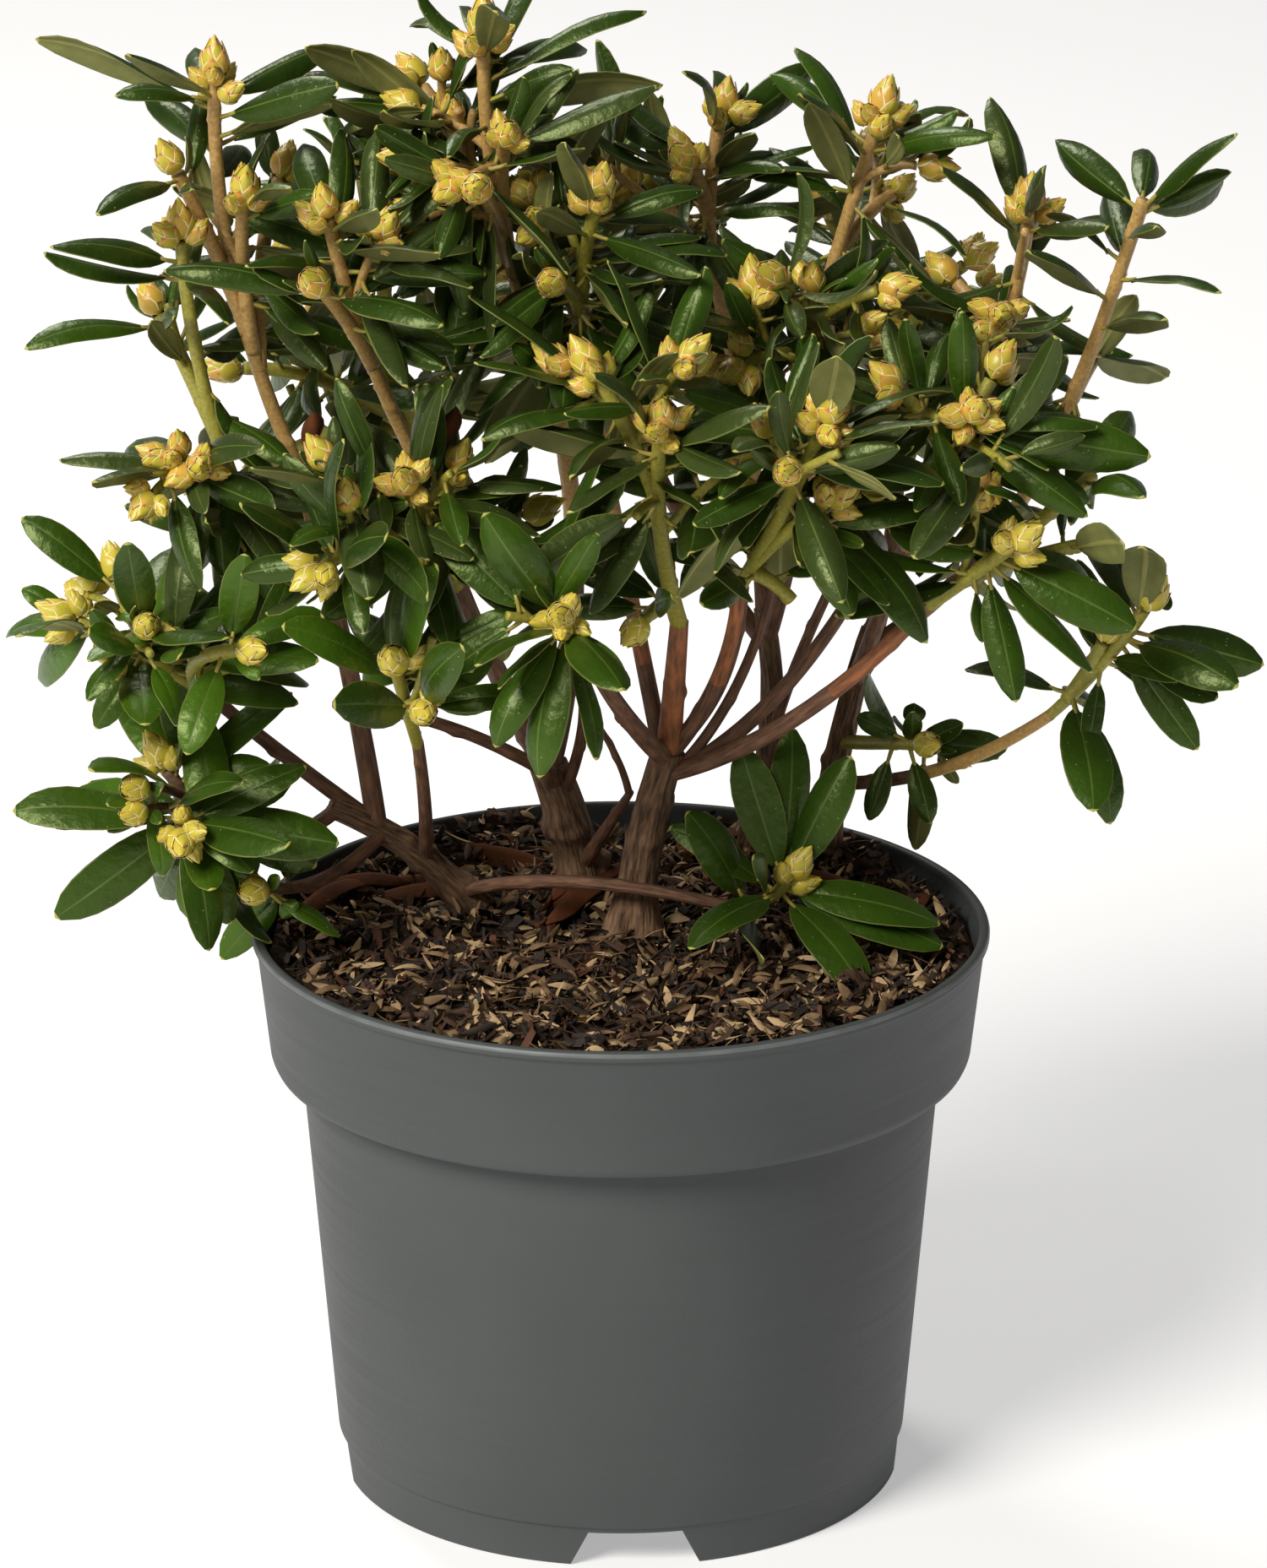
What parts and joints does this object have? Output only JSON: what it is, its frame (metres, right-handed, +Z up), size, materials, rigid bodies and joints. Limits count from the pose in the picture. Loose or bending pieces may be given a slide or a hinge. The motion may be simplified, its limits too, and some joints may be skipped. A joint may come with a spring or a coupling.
{
  "type": "potted rhododendron",
  "caption": "Young evergreen rhododendron in bud, with several bare lower stems and whorls of leaves, in a round nursery pot.",
  "frame": {"origin": "on the pot's axis, at the flat underside of the disc in its base that it stands on", "axes": "+Z up along the pot's axis, +X to the right and -Y to the front as the picture shows the plant"},
  "size_m": [0.3939, 0.285, 0.48],
  "materials": {
    "leaves": "satin",
    "bark": "matte",
    "soil": "matte",
    "pot": "matte"
  },
  "bodies": {
    "root": {"bough_centre": "bark", "bough_far_right": "bark", "bough_fore_right": "bark", "bough_front": "bark", "bough_front_left": "bark", "bough_high_right": "bark", "bough_inner": "bark", "bough_low_front": "bark", "bough_low_left": "bark", "bough_low_spur": "bark", "bough_middle": "bark", "bough_outer_left": "bark", "bough_reach_left": "bark", "bough_reach_right": "bark", "bough_rear_left": "bark", "bough_rear_middle": "bark", "bough_rear_right_top": "bark", "bough_rear_side": "bark", "bough_rear_top": "bark", "bough_right": "bark", "bough_right_inner": "bark", "bough_rise": "bark", "bough_top": "bark", "bough_upper_left": "bark", "foliage_centre": "leaves", "foliage_far_left": "leaves", "foliage_far_right": "leaves", "foliage_far_right_low": "leaves", "foliage_front": "leaves", "foliage_front_hanging": "leaves", "foliage_front_left": "leaves", "foliage_front_right": "leaves", "foliage_high_right": "leaves", "foliage_inner": "leaves", "foliage_left": "leaves", "foliage_low_front": "leaves", "foliage_low_left": "leaves", "foliage_low_left_front": "leaves", "foliage_rear": "leaves", "foliage_rear_left": "leaves", "foliage_rear_right": "leaves", "foliage_rear_right_top": "leaves", "foliage_rear_top": "leaves", "foliage_right": "leaves", "foliage_right_low": "leaves", "foliage_right_sprig": "leaves", "foliage_soil_sprig": "leaves", "foliage_top": "leaves", "foliage_top_left": "leaves", "foliage_upper_left": "leaves", "pot": "pot", "runner": "bark", "soil": "soil", "trunk_left": "bark", "trunk_low": "bark", "trunk_rear": "bark", "trunk_rear_right": "bark", "trunk_right": "bark"}
  },
  "joints": []
}
